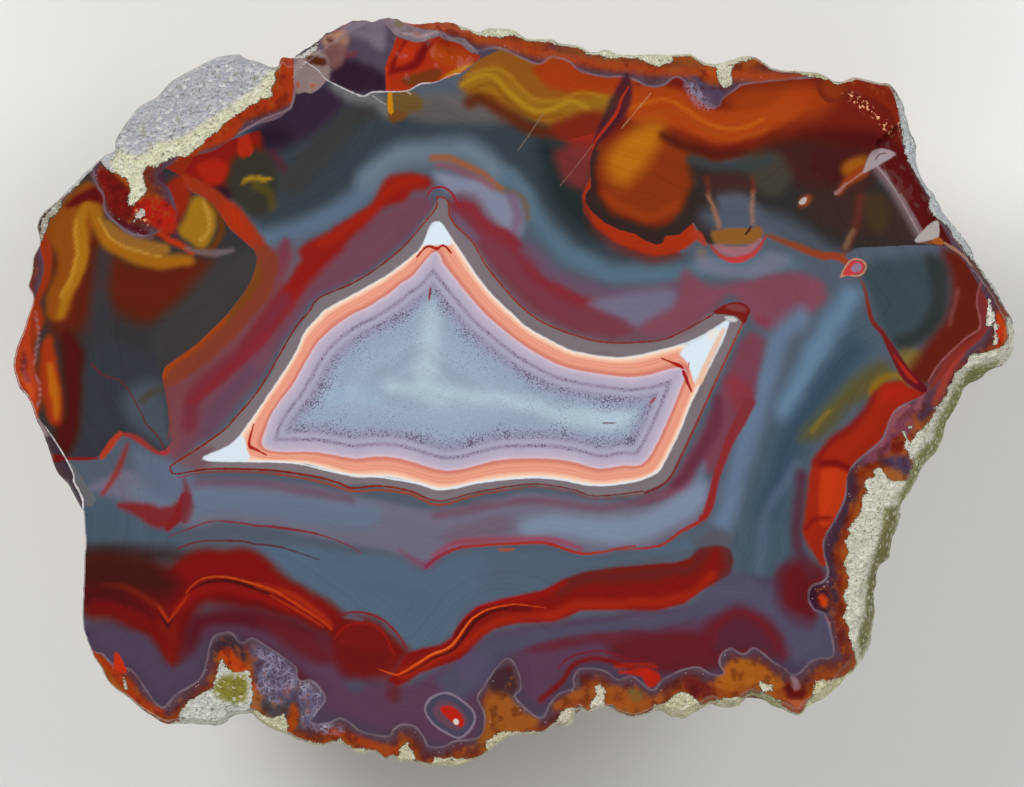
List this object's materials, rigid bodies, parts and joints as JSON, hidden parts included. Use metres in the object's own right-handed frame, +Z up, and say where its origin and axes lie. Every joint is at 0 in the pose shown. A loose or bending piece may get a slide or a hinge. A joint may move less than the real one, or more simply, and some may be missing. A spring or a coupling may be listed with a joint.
{
  "type": "agate half",
  "caption": "Half of an agate nodule with a flat polished cut face over a domed, lumpy rind, resting on a small flat spot.",
  "frame": {"origin": "under the middle of the stone's bounding box, on the surface that it rests on", "axes": "+Z up out of the polished cut face, +X along the longest way across the face, towards the narrow end with the host rock, +Y towards the edge with the large chip"},
  "size_m": [0.1101, 0.0824, 0.033],
  "materials": {
    "agate": "polished banded cut face in slate blue, peach, red and ochre; matte red-brown rind with cream and green-grey host rock"
  },
  "bodies": {
    "root": {"agate_half": "agate"}
  },
  "joints": []
}
